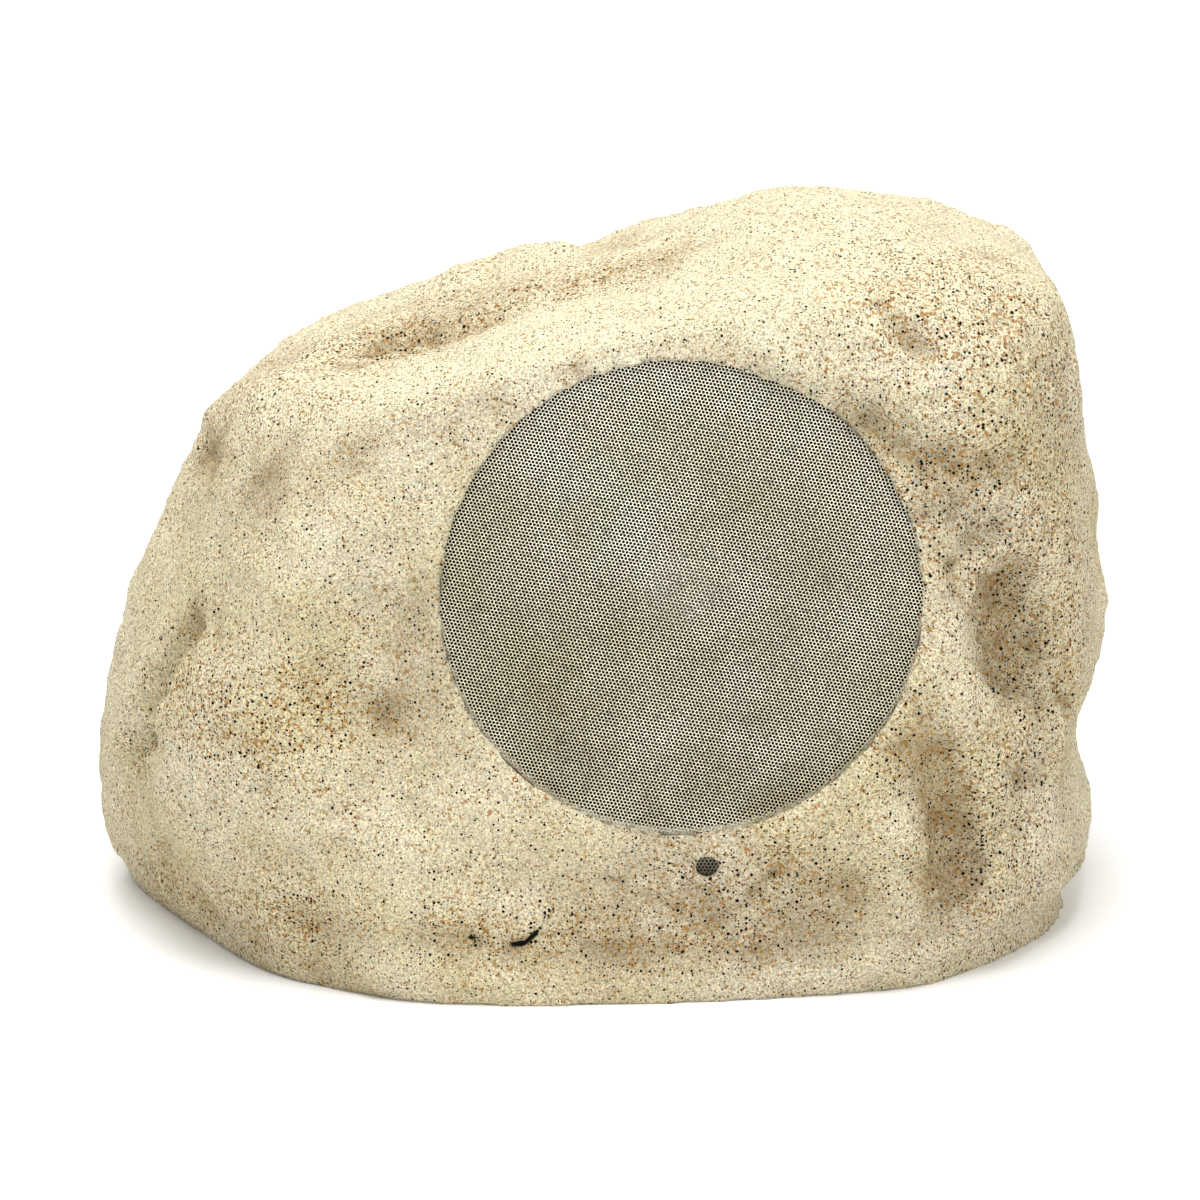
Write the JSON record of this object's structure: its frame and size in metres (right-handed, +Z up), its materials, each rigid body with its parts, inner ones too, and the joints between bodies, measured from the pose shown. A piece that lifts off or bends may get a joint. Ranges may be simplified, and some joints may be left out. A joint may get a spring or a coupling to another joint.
{
  "type": "rock shaped garden speaker",
  "caption": "Outdoor loudspeaker moulded as a hollow boulder, with a coaxial driver behind a round painted grille and a cable gland at the back.",
  "frame": {"origin": "on the ground, under the middle of the boulder", "axes": "+X to the right of someone facing the grille, the grille looks along -Y, +Z up"},
  "size_m": [0.3668, 0.2982, 0.266],
  "materials": {
    "stone": "coarse moulded stone, speckled",
    "painted_grille": "perforated steel painted like the stone",
    "black_plastic": "moulded",
    "black_rubber": "matt",
    "steel": "plated",
    "black_steel": "satin",
    "cone_plastic": "satin",
    "spider_cloth": "impregnated",
    "polyimide_film": "wound film",
    "copper_wire": "enamelled",
    "plated_steel": "plated",
    "ferrite": "matt",
    "brass_post": "turned",
    "dome_cloth": "coated",
    "brown_board": "laminate",
    "brass_tags": "tinned",
    "green_board": "varnished",
    "capacitor_sleeve": "shrunk sleeve",
    "ceramic_resistor": "matt",
    "green_plastic": "moulded",
    "lead_sleeve": "matt"
  },
  "bodies": {
    "boulder": {"rock_shell": "stone", "base_plate": "black_plastic", "base_gasket": "black_rubber", "base_screws": "steel", "grille": "painted_grille", "vent_screen": "painted_grille", "woofer_gasket": "black_rubber", "woofer_basket": "black_steel", "woofer_surround": "black_rubber", "woofer_spider": "spider_cloth", "top_plate": "plated_steel", "woofer_magnet": "ferrite", "back_plate": "plated_steel", "tweeter_post": "brass_post", "tweeter_housing": "black_plastic", "tweeter_magnet": "ferrite", "tweeter_dome": "dome_cloth", "tweeter_trim": "black_plastic", "woofer_screws": "black_steel", "terminal_strip": "brown_board", "terminal_tags": "brass_tags", "crossover_board": "green_board", "board_screws": "steel", "large_inductor": "copper_wire", "small_inductor": "copper_wire", "capacitors": "capacitor_sleeve", "power_resistor": "ceramic_resistor", "terminal_block": "green_plastic", "woofer_lead": "lead_sleeve", "tweeter_lead": "lead_sleeve", "gland_body": "black_plastic", "gland_cap": "black_plastic", "gland_nut": "black_plastic", "gland_seal": "black_rubber"},
    "cone": {"woofer_cone": "cone_plastic", "coil_former": "polyimide_film", "coil_winding": "copper_wire"}
  },
  "joints": [
    {"name": "cone_excursion", "type": "slide", "parent": "boulder", "child": "cone", "axis": [0, -0.9962, 0.0872], "range_m": [-0.004, 0.004], "stiffness_N_per_m": 1500, "deforming": ["woofer_surround", "woofer_spider"]}
  ]
}
